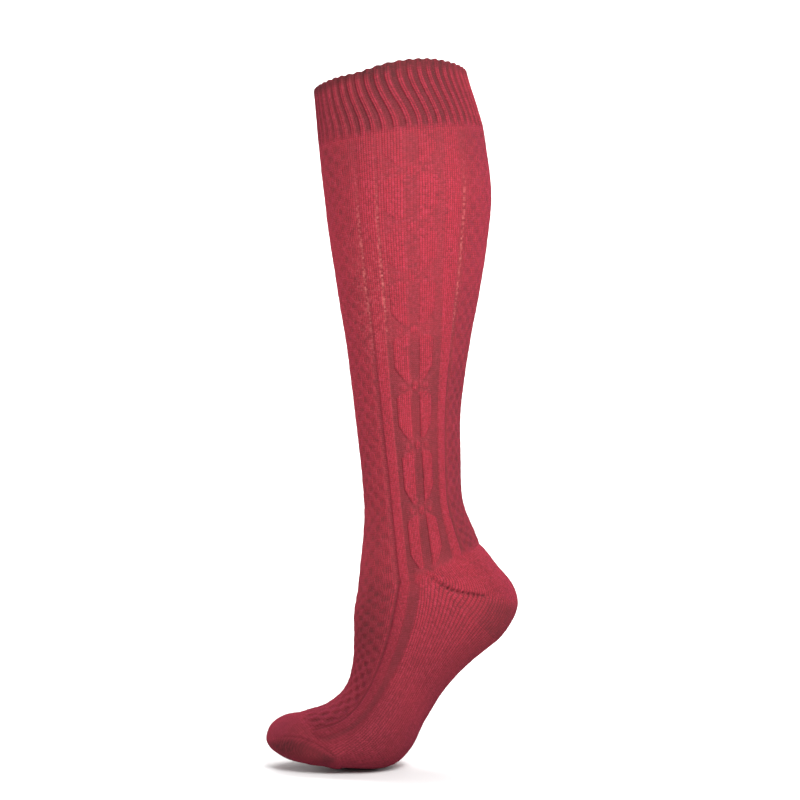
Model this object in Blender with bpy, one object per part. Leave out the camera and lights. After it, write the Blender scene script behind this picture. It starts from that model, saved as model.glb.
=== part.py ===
"""Knee sock in the form it has when worn: ribbed cuff, cabled leg, heel pocket, foot and toe pocket.

The sock is drawn in its side view first: X runs from the toe (-X) to the heel (+X), Z is up, and
the two sides are alike across the plane Y = 0. Every course of knitting is a ring that crosses the
side view as two straight halves. Both start on the side line, at half the ring's width from the
plane Y = 0, and one reaches the front of the leg or the instep, the other the back or the sole.
The heel and the toe are pockets: their half rings all turn about one corner of the side line,
as short rows do about the corner of a gore.

A place round a ring is given in wales, the columns of stitches: 0 in the middle of the front,
WALES / 4 on the side line, WALES / 2 in the middle of the back.
"""

import math
from dataclasses import astuple, dataclass, replace
from typing import Callable, NamedTuple

import bmesh
import bpy
from mathutils import Vector

# Driving sizes, in metres and degrees
MOUTH_DEPTH = 0.1128        # front to back across the opening
MOUTH_WIDTH = 0.100         # side to side across the opening
MOUTH_TILT = 7.1            # how far the opening's back is lifted
MOUTH_ARCH = 0.0095         # how far the opening's sides rise over its front and back
ARCH_LEAN = 0.34            # how much of that rise lies nearer the back than the front
CUFF_HEIGHT = 0.0425        # from the opening down to the leg
CUFF_SWAY = 0.0085          # how far back the cuff's lower edge lies
LEG_LENGTH = 0.320          # from the cuff down to the gore's corner
CALF_DEPTH = 0.1235
CALF_WIDTH = 0.108
ANKLE_DEPTH = 0.074
ANKLE_WIDTH = 0.062
GORE_DEPTH = 0.0975         # front to back through the gore's corner
GORE_WIDTH = 0.064          # side to side between the gores' corners
HEEL_REACH = 0.0707         # from the gore's corner to the back of the heel
FOOT_DROP = 0.1302          # from the gore's corner down to the toe's corner
FOOT_RUN = 0.0672           # from the gore's corner forward to the toe's corner
FOOT_DEPTH = 0.0755         # instep to sole in the middle of the foot
BALL_WIDTH = 0.084
TOE_REACH = 0.0540          # from the toe's corner to its tip
TOE_WIDTH = 0.077
CUFF_WALL = 0.0026
KNIT_WALL = 0.0020
SEAM_GAP = 0.0003           # clearance between neighbouring pieces
RIB_RISE = 0.0009           # ribs of the cuff over their grooves
CABLE_RISE = 0.0007         # ribs and cables of the side panel over the purl ground
PURL_SINK = 0.0004          # purl channels under the purl ground

# Counts of the knitting
WALES = 200                 # stitches round a course
CUFF_RIB_WALES = 4          # two knit and two purl
SIDE = WALES // 4           # the side line
BACK = WALES // 2           # the middle of the back

# Roundness of a ring: 2 is an ellipse, more is squarer
FULLNESS = 2.15

# Borders of the side panel's columns, in wales from the middle of the front
RIB_BAND = (28, 35)
LENS_BAND = (40, 47)
BACK_RIB_BAND = (65, 72)

# A cable's width narrows from LENS_BAND's to a point at each crossing, in wales
POINT_OFFSET = 1.5          # from the side line to the middle of the point
POINT_HALF = 1.2            # half the point's width

# Where the two cables cross on the side line, as shares of LEG_LENGTH from the cuff
CABLE_CROSSINGS = (-0.035, 0.087, 0.212, 0.323, 0.443, 0.571, 0.704, 0.849, 0.996)


class LegRow(NamedTuple):
    """One section of the leg."""

    drop: float        # share of LEG_LENGTH down from the cuff
    sway: float        # share of LEG_LENGTH that the side line lies behind the cuff's edge
    swell: float       # 0 is the ankle's size, 1 the calf's, -1 the gore's
    lead: float        # share of the depth that lies in front of the side line
    front_tilt: float  # degrees by which the front half hangs down
    back_tilt: float   # degrees by which the back half rises
    edge: float        # degrees from the front or the back to the side panel


LEG_ROWS = (
    LegRow(0.000, 0.0000, 0.985, 0.500, 6.6, 6.6, 50.4),
    LegRow(0.124, 0.0150, 1.000, 0.500, 6.2, 6.2, 50.4),
    LegRow(0.184, 0.0180, 0.947, 0.500, 5.6, 5.6, 50.4),
    LegRow(0.322, 0.0196, 0.697, 0.500, 5.6, 5.6, 50.6),
    LegRow(0.471, 0.0173, 0.362, 0.500, 5.6, 5.6, 51.0),
    LegRow(0.628, 0.0178, 0.095, 0.508, 7.4, 7.4, 52.0),
    LegRow(0.760, 0.0346, 0.000, 0.550, 9.6, 10.5, 54.5),
    LegRow(0.858, 0.0472, -0.030, 0.580, 9.6, 14.0, 58.0),
    LegRow(1.000, 0.0647, -1.000, 0.561, 13.6, 30.2, 65.0),
)


class FanRow(NamedTuple):
    """One half ring of a pocket."""

    turn: float    # share of the pocket's whole turn about its corner
    reach: float   # share of HEEL_REACH or TOE_REACH


HEEL_TURN = 75.2            # degrees from the leg's back half ring to the sole's
HEEL_ROWS = (
    FanRow(0.313, 0.711),
    FanRow(0.527, 0.898),
    FanRow(0.658, 0.982),
    FanRow(0.820, 1.000),
    FanRow(1.000, 1.003),
)

TOE_TOP_ANGLE = 138.4       # degrees at which the toe's first half ring points
TOE_TURN = 149.6            # degrees from the instep's half ring to the sole's
TOE_ROWS = (
    FanRow(0.000, 0.738),
    FanRow(0.095, 0.920),
    FanRow(0.165, 1.000),
    FanRow(0.245, 0.977),
    FanRow(0.320, 0.765),
    FanRow(0.403, 0.500),
    FanRow(0.573, 0.290),
    FanRow(1.000, 0.235),
)


class FootRow(NamedTuple):
    """One section of the foot between the gore's ring and the toe's."""

    down: float         # share of FOOT_DROP under the gore's corner
    run: float          # share of FOOT_RUN ahead of it
    swell: float        # 0 is the gore's width, 1 the ball's
    front_reach: float  # share of FOOT_DEPTH
    front_angle: float
    back_reach: float   # share of FOOT_DEPTH
    back_angle: float
    edge: float         # degrees from the instep's middle to the rib


FOOT_ROWS = (
    FootRow(0.182, 0.094, 0.00, 0.662, 187.5, 0.738, -50.7, 62.0),
    FootRow(0.364, 0.192, 0.05, 0.570, 180.5, 0.597, -56.0, 60.0),
    FootRow(0.563, 0.324, 0.25, 0.472, 166.0, 0.522, -61.0, 58.0),
    FootRow(0.744, 0.479, 0.62, 0.430, 156.0, 0.502, -63.0, 57.0),
    FootRow(0.892, 0.699, 1.00, 0.460, 147.0, 0.400, -62.0, 55.0),
)
TOE_EDGE = 50.4

# Steps along each piece, of its outer skin and of its inner one
CUFF_STEPS = (3, 1)
LEG_STEPS = (34, 11)
FOOT_STEPS = (17, 11)
HEEL_STEPS = (12, 10)
TOE_STEPS = (9, 9)

# Columns of the walls over half a round, in wales
LEG_COLUMNS = (0, 9, 18, 27.2, 28.8, 31.5, 34.2, 35.8, 37.5, 39.2, 41, 43.5, 46, 48,
               50, 52, 54, 56.5, 59, 60.8, 62.5, 64.2, 65.8, 68.5, 71.2, 72.8, 82, 91)
FOOT_COLUMNS = (0, 7, 14, 21, 27.2, 28.8, 31.5, 34.2, 35.8, 39.2, 45,
                50, 56, 63, 70, 77, 85, 93)
POCKET_COLUMN = 4           # wales from one column of the heel or the toe to the next

WELD = 0.00001
SHARP_EDGE = 50.0           # degrees between faces from which an edge is shaded sharp

SOCK_RED = (0.33, 0.018, 0.045, 1.0)


@dataclass(frozen=True)
class Ring:
    """A course of knitting: its side line and its two halves in the side view."""

    side_x: float
    side_z: float
    half_width: float
    front_reach: float
    front_angle: float
    back_reach: float
    back_angle: float
    edge: float
    arch: float = 0.0

    def turn_at(self, wale: float) -> float:
        """Angle from the middle of the front (0) over the side line (90) to the back (180)."""
        folded = min(wale % WALES, WALES - wale % WALES)
        from_centre = min(folded, BACK - folded)
        panel = RIB_BAND[0]
        if from_centre < panel:
            angle = self.edge * from_centre / panel
        else:
            angle = self.edge + (90.0 - self.edge) * (from_centre - panel) / (SIDE - panel)
        return angle if folded <= SIDE else 180.0 - angle

    def point(self, wale: float, lift: float) -> Vector:
        """Place on the ring, moved outwards in the ring's own plane by lift."""
        turn = math.radians(self.turn_at(wale))
        along, across = abs(math.cos(turn)), math.sin(turn)
        in_front = math.cos(turn) > 0.0
        reach = self.front_reach if in_front else self.back_reach
        heading = math.radians(self.front_angle if in_front else self.back_angle)
        power = 2.0 / FULLNESS
        out, aside = reach * along**power, self.half_width * across**power
        normal = Vector((along ** (2.0 - power) / reach, across ** (2.0 - power) / self.half_width))
        normal.normalize()
        out += lift * normal.x
        aside += lift * normal.y
        far_side = 1.0 if wale % WALES > BACK else -1.0
        lean = 1.0 - ARCH_LEAN * (1.0 + math.cos(turn))
        return Vector((
            self.side_x + out * math.cos(heading),
            far_side * aside,
            self.side_z + out * math.sin(heading) + self.arch * across**2 * lean,
        ))

    def shifted(self, gap: float, bisector: float, sweep: float) -> "Ring":
        """The ring moved so that both halves lie gap away from where they were."""
        distance = gap / math.sin(math.radians(sweep) / 2.0)
        heading = math.radians(bisector)
        return replace(
            self,
            side_x=self.side_x + distance * math.cos(heading),
            side_z=self.side_z + distance * math.sin(heading),
        )

    def raised(self, gap: float) -> "Ring":
        """The last ring of a piece that lies above it."""
        bisector = (self.front_angle + self.back_angle) / 2.0
        return self.shifted(gap, bisector, self.front_angle - self.back_angle)

    def lowered(self, gap: float) -> "Ring":
        """The first ring of a piece that lies below it."""
        bisector = (self.front_angle + self.back_angle) / 2.0 + 180.0
        return self.shifted(gap, bisector, 360.0 - (self.front_angle - self.back_angle))


@dataclass(frozen=True)
class Station:
    """A ring and its place along a piece, from 0 to 1."""

    place: float
    ring: Ring


def ring_at(stations: list[Station], place: float) -> Ring:
    """A smooth curve through the stations' numbers, read at one place."""
    last = len(stations) - 1
    index = next((i for i in range(last) if place <= stations[i + 1].place), last - 1)

    def slope(at: int) -> list[float]:
        low, high = max(at - 1, 0), min(at + 1, last)
        span = stations[high].place - stations[low].place
        pairs = zip(astuple(stations[low].ring), astuple(stations[high].ring))
        return [(b - a) / span for a, b in pairs]

    start, end = stations[index], stations[index + 1]
    span = end.place - start.place
    t = (place - start.place) / span
    values = []
    rows = zip(astuple(start.ring), astuple(end.ring), slope(index), slope(index + 1))
    for a, b, slope_a, slope_b in rows:
        values.append(
            a * (1 + 2 * t) * (1 - t) ** 2
            + b * t * t * (3 - 2 * t)
            + span * slope_a * t * (1 - t) ** 2
            - span * slope_b * t * t * (1 - t)
        )
    return Ring(*values)


def between(swell: float, ankle: float, calf: float, gore: float) -> float:
    """A size of the leg: from the ankle's towards the calf's (above 0) or the gore's (below 0)."""
    return ankle + (calf - ankle) * swell if swell >= 0.0 else ankle + (ankle - gore) * swell


def mouth_ring() -> Ring:
    """The opening, with the part's origin in its middle."""
    half = MOUTH_DEPTH / 2.0
    return Ring(0.0, 0.0, MOUTH_WIDTH / 2.0, half, 180.0 + MOUTH_TILT, half, MOUTH_TILT,
                LEG_ROWS[0].edge, MOUTH_ARCH)


def leg_ring(row: LegRow) -> Ring:
    """The ring of one row of the leg's table."""
    depth = between(row.swell, ANKLE_DEPTH, CALF_DEPTH, GORE_DEPTH)
    return Ring(
        side_x=CUFF_SWAY + row.sway * LEG_LENGTH,
        side_z=-CUFF_HEIGHT - row.drop * LEG_LENGTH,
        half_width=between(row.swell, ANKLE_WIDTH, CALF_WIDTH, GORE_WIDTH) / 2.0,
        front_reach=row.lead * depth,
        front_angle=180.0 + row.front_tilt,
        back_reach=(1.0 - row.lead) * depth,
        back_angle=row.back_tilt,
        edge=row.edge,
    )


LEG_STATIONS = [Station(row.drop, leg_ring(row)) for row in LEG_ROWS]
CUFF_STATIONS = [Station(0.0, mouth_ring()), Station(1.0, LEG_STATIONS[0].ring)]
GORE_RING = LEG_STATIONS[-1].ring


def pocket_stations(corner: Ring, first_angle: float, turn: float, reach: float,
                    rows: tuple[FanRow, ...]) -> list[Station]:
    """Half rings that turn about the corner ring's side line, in their back halves."""
    return [
        Station(row.turn, replace(corner, back_reach=row.reach * reach,
                                  back_angle=first_angle + row.turn * turn))
        for row in rows
    ]


def heel_stations() -> list[Station]:
    """The heel's half rings, from the leg's back half ring down to the sole's."""
    first = Station(0.0, GORE_RING)
    return [first] + pocket_stations(GORE_RING, GORE_RING.back_angle, -HEEL_TURN, HEEL_REACH, HEEL_ROWS)


HEEL_STATIONS = heel_stations()
SOLE_HALF = HEEL_STATIONS[-1].ring


def toe_ring() -> Ring:
    """The ring between the foot and the toe."""
    return Ring(
        side_x=GORE_RING.side_x - FOOT_RUN,
        side_z=GORE_RING.side_z - FOOT_DROP,
        half_width=TOE_WIDTH / 2.0,
        front_reach=TOE_ROWS[0].reach * TOE_REACH,
        front_angle=TOE_TOP_ANGLE,
        back_reach=TOE_ROWS[-1].reach * TOE_REACH,
        back_angle=TOE_TOP_ANGLE + TOE_TURN - 360.0,
        edge=TOE_EDGE,
    )


TOE_RING = toe_ring()
TOE_STATIONS = pocket_stations(TOE_RING, TOE_TOP_ANGLE, TOE_TURN, TOE_REACH, TOE_ROWS)


def foot_ring(row: FootRow) -> Ring:
    """The ring of one row of the foot's table."""
    return Ring(
        side_x=GORE_RING.side_x - row.run * FOOT_RUN,
        side_z=GORE_RING.side_z - row.down * FOOT_DROP,
        half_width=(GORE_WIDTH + (BALL_WIDTH - GORE_WIDTH) * row.swell) / 2.0,
        front_reach=row.front_reach * FOOT_DEPTH,
        front_angle=row.front_angle,
        back_reach=row.back_reach * FOOT_DEPTH,
        back_angle=row.back_angle,
        edge=row.edge,
    )


def foot_stations() -> list[Station]:
    """The foot's rings: under the leg and the heel first, the toe's ring last."""
    first = replace(GORE_RING, back_reach=SOLE_HALF.back_reach, back_angle=SOLE_HALF.back_angle)
    middle = [Station(row.down, foot_ring(row)) for row in FOOT_ROWS]
    return [Station(0.0, first)] + middle + [Station(1.0, TOE_RING)]


FOOT_STATIONS = foot_stations()


def step(value: float, low: float, high: float) -> float:
    """0 below low, 1 above high, a smooth ramp between them."""
    t = min(max((value - low) / (high - low), 0.0), 1.0)
    return t * t * (3.0 - 2.0 * t)


def band(wale: float, low: float, high: float) -> float:
    """1 inside a band of wales and 0 outside, with ramps one wale wide."""
    return step(wale, low - 0.5, low + 0.5) * (1.0 - step(wale, high - 0.5, high + 0.5))


def cuff_relief(wale: float, _place: float) -> float:
    """Two raised wales and two sunk ones in turn."""
    knit = wale % CUFF_RIB_WALES < CUFF_RIB_WALES / 2.0
    return RIB_RISE / 2.0 if knit else -RIB_RISE / 2.0


def crossing_phase(place: float) -> float:
    """How far along its lens a place lies: 0 and 1 where the cables cross."""
    for low, high in zip(CABLE_CROSSINGS, CABLE_CROSSINGS[1:]):
        if place <= high:
            return (place - low) / (high - low)
    return 1.0


def side_relief(wale: float, place: float) -> float:
    """The leg's side panel: a rib, a channel, the two cables that cross, a channel and a rib."""
    folded = min(wale, WALES - wale)
    ribs = band(folded, *RIB_BAND) + band(folded, *BACK_RIB_BAND)
    panel = band(folded, RIB_BAND[1], BACK_RIB_BAND[0])
    bow = math.sin(math.pi * crossing_phase(place))
    from_middle = abs(folded - SIDE)
    lens_middle = POINT_OFFSET + (SIDE - sum(LENS_BAND) / 2.0 - POINT_OFFSET) * bow
    lens_half = POINT_HALF + ((LENS_BAND[1] - LENS_BAND[0]) / 2.0 - POINT_HALF) * bow
    lens = band(from_middle, lens_middle - lens_half, lens_middle + lens_half)
    return CABLE_RISE * (ribs + lens) - PURL_SINK * panel * (1.0 - lens)


def instep_relief(wale: float, _place: float) -> float:
    """The rib and the channel beside it, which go on over the instep."""
    folded = min(wale, WALES - wale)
    channel = band(folded, RIB_BAND[1], LENS_BAND[0])
    return CABLE_RISE * band(folded, *RIB_BAND) - PURL_SINK * channel


def plain_relief(_wale: float, _place: float) -> float:
    """No pattern."""
    return 0.0


@dataclass(frozen=True)
class Piece:
    """A piece of the sock: its rings and how its wall is divided."""

    name: str
    stations: list[Station]
    wall: float
    wales: list[float]
    steps: tuple[int, int]
    relief: Callable[[float, float], float]

    def courses(self) -> list[tuple[float, bool]]:
        """Places of the wall's courses: down the outer skin, up the inner one and closed at the top."""
        outer, inner = self.steps
        down = [(step_down / outer, False) for step_down in range(outer + 1)]
        up = [(step_up / inner, True) for step_up in reversed(range(inner + 1))]
        return [*down, *up, down[0]]

    def build(self, parent: bpy.types.Object) -> None:
        """The closed wall as an object at the side line of its first ring."""
        first = self.stations[0].ring
        anchor = Vector((first.side_x, 0.0, first.side_z))
        columns = len(self.wales) - 1
        courses = self.courses()
        rows = len(courses) - 1
        bm = bmesh.new()
        grid = bmesh.ops.create_grid(bm, x_segments=columns, y_segments=rows, size=0.5)
        for vert in grid["verts"]:
            wale = self.wales[round((vert.co.x + 0.5) * columns)]
            place, inner = courses[round((vert.co.y + 0.5) * rows)]
            lift = -self.wall if inner else self.relief(wale, place)
            vert.co = ring_at(self.stations, place).point(wale, lift)
        bmesh.ops.remove_doubles(bm, verts=bm.verts[:], dist=WELD)
        bmesh.ops.recalc_face_normals(bm, faces=bm.faces[:])
        bmesh.ops.translate(bm, verts=bm.verts[:], vec=-anchor)
        mesh = bpy.data.meshes.new(self.name)
        bm.to_mesh(mesh)
        bm.free()
        mesh.shade_smooth()
        mesh.set_sharp_from_angle(angle=math.radians(SHARP_EDGE))
        piece = bpy.data.objects.new(self.name, mesh)
        piece.location = anchor
        piece.parent = parent
        mesh.materials.append(knit_material(self.name))
        bpy.context.scene.collection.objects.link(piece)


def round_columns(half: tuple[float, ...]) -> list[float]:
    """Columns all the way round from those of half a round, the first one twice."""
    mirrored = [WALES - wale for wale in reversed(half) if wale > 0]
    return [*half, float(BACK), *mirrored, float(WALES)]


def knit_material(name: str) -> bpy.types.Material:
    """Red wool of one piece."""
    material = bpy.data.materials.new(f"{name}_knit")
    material.use_nodes = True
    shader = material.node_tree.nodes["Principled BSDF"]
    shader.inputs["Base Color"].default_value = SOCK_RED
    shader.inputs["Roughness"].default_value = 0.9
    shader.inputs["Metallic"].default_value = 0.0
    material.diffuse_color = SOCK_RED
    return material


def trimmed(stations: list[Station], above: bool, below: bool) -> list[Station]:
    """A tube's stations with its two end rings moved in by half the seam's gap."""
    first, last = stations[0], stations[-1]
    if above:
        first = replace(first, ring=first.ring.lowered(SEAM_GAP / 2.0))
    if below:
        last = replace(last, ring=last.ring.raised(SEAM_GAP / 2.0))
    return [first, *stations[1:-1], last]


def pocket_trimmed(stations: list[Station], first_angle: float, turn: float) -> list[Station]:
    """A pocket's stations with their corner moved in, clear of both neighbours by half the gap."""
    return [
        replace(station, ring=station.ring.shifted(SEAM_GAP / 2.0, first_angle + turn / 2.0, abs(turn)))
        for station in stations
    ]


def pieces() -> list[Piece]:
    """The five pieces of the sock, from the mouth down."""
    leg_columns = round_columns(LEG_COLUMNS)
    pocket_columns = [float(wale) for wale in range(SIDE, WALES - SIDE + 1, POCKET_COLUMN)]
    heel = pocket_trimmed(HEEL_STATIONS, GORE_RING.back_angle, -HEEL_TURN)
    toe = pocket_trimmed(TOE_STATIONS, TOE_TOP_ANGLE, TOE_TURN)
    return [
        Piece("cuff", trimmed(CUFF_STATIONS, above=False, below=True), CUFF_WALL,
              [float(wale) for wale in range(WALES + 1)], CUFF_STEPS, cuff_relief),
        Piece("leg", trimmed(LEG_STATIONS, above=True, below=True), KNIT_WALL,
              leg_columns, LEG_STEPS, side_relief),
        Piece("heel", heel, KNIT_WALL, pocket_columns, HEEL_STEPS, plain_relief),
        Piece("foot", trimmed(FOOT_STATIONS, above=True, below=True), KNIT_WALL,
              round_columns(FOOT_COLUMNS), FOOT_STEPS, instep_relief),
        Piece("toe", toe, KNIT_WALL, pocket_columns, TOE_STEPS, plain_relief),
    ]


def main() -> None:
    """Clear the scene and build the sock."""
    for item in list(bpy.data.objects):
        bpy.data.objects.remove(item, do_unlink=True)
    sock = bpy.data.objects.new("sock", None)
    bpy.context.scene.collection.objects.link(sock)
    for piece in pieces():
        piece.build(sock)


main()
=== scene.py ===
"""Knee sock, dressed: knitted walls with their ribs, cables, honeycomb, gores and stitches.

The sock stands in its side view: the toe points to -X, the heel to +X, Z is up and the two sides
are alike across the plane Y = 0. Every course of knitting crosses the side view as two straight
halves, which start on the side line and reach the front and the back. A place round a course is
given in wales, the columns of stitches: 0 in the middle of the front, 50 on the side line and 100
in the middle of the back. Lengths are in metres and angles in degrees.
"""

import logging
import math
from collections.abc import Callable
from dataclasses import astuple, dataclass, replace
from enum import Enum
from typing import NamedTuple

import bmesh
import bpy
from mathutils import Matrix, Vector, noise

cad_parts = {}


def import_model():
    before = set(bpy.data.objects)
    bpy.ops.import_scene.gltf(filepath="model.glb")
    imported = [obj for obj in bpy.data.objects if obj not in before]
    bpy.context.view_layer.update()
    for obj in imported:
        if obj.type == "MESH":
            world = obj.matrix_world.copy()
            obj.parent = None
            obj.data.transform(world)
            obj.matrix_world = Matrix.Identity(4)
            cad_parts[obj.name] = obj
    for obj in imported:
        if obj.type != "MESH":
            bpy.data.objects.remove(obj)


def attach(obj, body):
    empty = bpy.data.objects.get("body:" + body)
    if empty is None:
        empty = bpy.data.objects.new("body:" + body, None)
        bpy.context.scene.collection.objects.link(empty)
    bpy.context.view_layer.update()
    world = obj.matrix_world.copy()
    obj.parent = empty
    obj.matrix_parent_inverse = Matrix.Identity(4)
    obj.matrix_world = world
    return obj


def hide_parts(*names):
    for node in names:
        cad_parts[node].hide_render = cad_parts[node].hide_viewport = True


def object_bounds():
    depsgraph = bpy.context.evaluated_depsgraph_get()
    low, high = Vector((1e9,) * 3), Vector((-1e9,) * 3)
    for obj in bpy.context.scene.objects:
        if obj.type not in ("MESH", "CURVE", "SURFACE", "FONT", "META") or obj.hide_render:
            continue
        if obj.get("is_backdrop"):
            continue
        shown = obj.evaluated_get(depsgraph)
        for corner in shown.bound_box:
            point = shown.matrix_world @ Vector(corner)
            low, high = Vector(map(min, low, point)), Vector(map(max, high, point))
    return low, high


LOG = logging.getLogger("knee_sock")

Pair = tuple[float, float]
Point = tuple[float, float, float]
Colour = tuple[float, float, float, float]

WALES = 200
SIDE = 50
BACK = 100
# Power of the squared oval that a course makes; 2 would be an ellipse.
FULLNESS = 2.15
# Stitches across and along one cell of the honeycomb.
PERIOD = 8
# Wale from which plain knitting is looser, and how wide a stitch there looks.
PLAIN_FROM = 44
PLAIN_GAUGE = 0.62
# Depth in metres and waves per metre of each part of the fabric's unevenness.
SLACK = ((0.00030, 45.0), (0.00012, 260.0))
# Borders of a ramp that is 1 on every wale and at every place.
ALL = (-2.0, -1.0)


def ramp(value: float, low: float, high: float) -> float:
    """Rise smoothly from 0 at the low value to 1 at the high one."""
    t = min(max((value - low) / (high - low), 0.0), 1.0)
    return t * t * (3.0 - 2.0 * t)


def fall(value: float, low: float, high: float) -> float:
    """Fall smoothly from 1 at the low value to 0 at the high one."""
    return 1.0 - ramp(value, low, high)


def band(value: float, low: float, high: float, edge: float = 0.35) -> float:
    """Be 1 between two borders and 0 outside them, with a ramp of two edges' width at each."""
    return ramp(value, low - edge, low + edge) * fall(value, high - edge, high + edge)


def bell(value: float, width: float) -> float:
    """Rise round 0 to 1 and sink to nearly 0 at twice the width."""
    return math.exp(-((value / width) ** 2))


def mix(low: float, high: float, share: float) -> float:
    """Go from the low value to the high one by a share."""
    return low + (high - low) * share


def slack(place: Vector) -> float:
    """Give the small unevenness of worn knitting at a place, in metres."""
    return sum(depth * noise.noise(place * waves) for depth, waves in SLACK)


def folded(wale: float) -> float:
    """Wales from the middle of the front, alike on both sides of the sock."""
    return min(wale, WALES - wale)


def plain_wale(wale: float) -> float:
    """Count wales as they look where the sole, heel and toe are plain and looser."""
    place = folded(wale)
    return min(place, PLAIN_FROM) + PLAIN_GAUGE * max(0.0, place - PLAIN_FROM)


@dataclass(frozen=True)
class Course:
    """A course of knitting: its side line and its two halves in the side view."""

    side_x: float
    side_z: float
    half_width: float
    front_reach: float
    front_angle: float
    back_reach: float
    back_angle: float
    edge: float
    back_edge: float
    drift: float = 0.0
    arch: float = 0.0

    def turn_at(self, wale: float) -> float:
        """Find the angle of a wale.

        Args:
            wale: The wale.

        Returns:
            The angle from the front (0) over the side line (90) to the back (180).
        """
        place = folded(wale)
        from_centre = min(place, BACK - place)
        panel = SideChart.PANEL
        edge = self.edge if place <= SIDE else self.back_edge
        if from_centre < panel:
            angle = edge * from_centre / panel
        else:
            angle = edge + (90.0 - edge) * (from_centre - panel) / (SIDE - panel)
        turn = angle if place <= SIDE else 180.0 - angle
        return turn + self.drift * math.sin(math.radians(turn))

    def point(self, wale: float, lift: float, arch_lean: float = 0.34) -> Vector:
        """Find a place on the course, moved outwards in the course's own plane.

        Args:
            wale: The wale.
            lift: How far it is moved.
            arch_lean: How much of the arch lies nearer the back than the front.

        Returns:
            The place.
        """
        turn = math.radians(self.turn_at(wale))
        along, across = abs(math.cos(turn)), math.sin(turn)
        in_front = math.cos(turn) > 0.0
        reach = self.front_reach if in_front else self.back_reach
        heading = math.radians(self.front_angle if in_front else self.back_angle)
        power = 2.0 / FULLNESS
        out, aside = reach * along**power, self.half_width * across**power
        out_normal = along ** (2.0 - power) / reach
        side_normal = across ** (2.0 - power) / self.half_width
        length = math.hypot(out_normal, side_normal)
        out += lift * out_normal / length
        aside += lift * side_normal / length
        side = 1.0 if wale > BACK else -1.0
        lean = 1.0 - arch_lean * (1.0 + math.cos(turn))
        return Vector((
            self.side_x + out * math.cos(heading),
            side * aside,
            self.side_z + out * math.sin(heading) + self.arch * across**2 * lean,
        ))


class Station(NamedTuple):
    """A course and its place along a piece, from 0 to 1."""

    place: float
    course: Course


def course_at(stations: list[Station], place: float) -> Course:
    """Read a smooth curve through the stations' numbers.

    Args:
        stations: The stations, in the order of their places.
        place: Where to read it.

    Returns:
        The course there.
    """
    last = len(stations) - 1
    index = next((i for i in range(last) if place <= stations[i + 1].place), last - 1)
    start, end = stations[index], stations[index + 1]
    before, after = stations[max(index - 1, 0)], stations[min(index + 2, last)]
    span = end.place - start.place
    t = (place - start.place) / span
    values = []
    for a, b, low, high in zip(*(astuple(s.course) for s in (start, end, before, after))):
        slope_a = span * (b - low) / (end.place - before.place)
        slope_b = span * (high - a) / (after.place - start.place)
        values.append(
            a * (1 + 2 * t) * (1 - t) ** 2
            + b * t * t * (3 - 2 * t)
            + slope_a * t * (1 - t) ** 2
            - slope_b * t * t * (1 - t)
        )
    return Course(*values)


class Row(NamedTuple):
    """One section of the leg or the foot.

    Its ways down and along are shares of the piece's own and its reaches are shares of the depth.
    Its swell says which sizes it lies between. The rest are degrees.
    """

    down: float
    along: float
    swell: float
    front_reach: float
    front_angle: float
    back_reach: float
    back_angle: float
    edge: float
    back_edge: float
    drift: float


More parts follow.
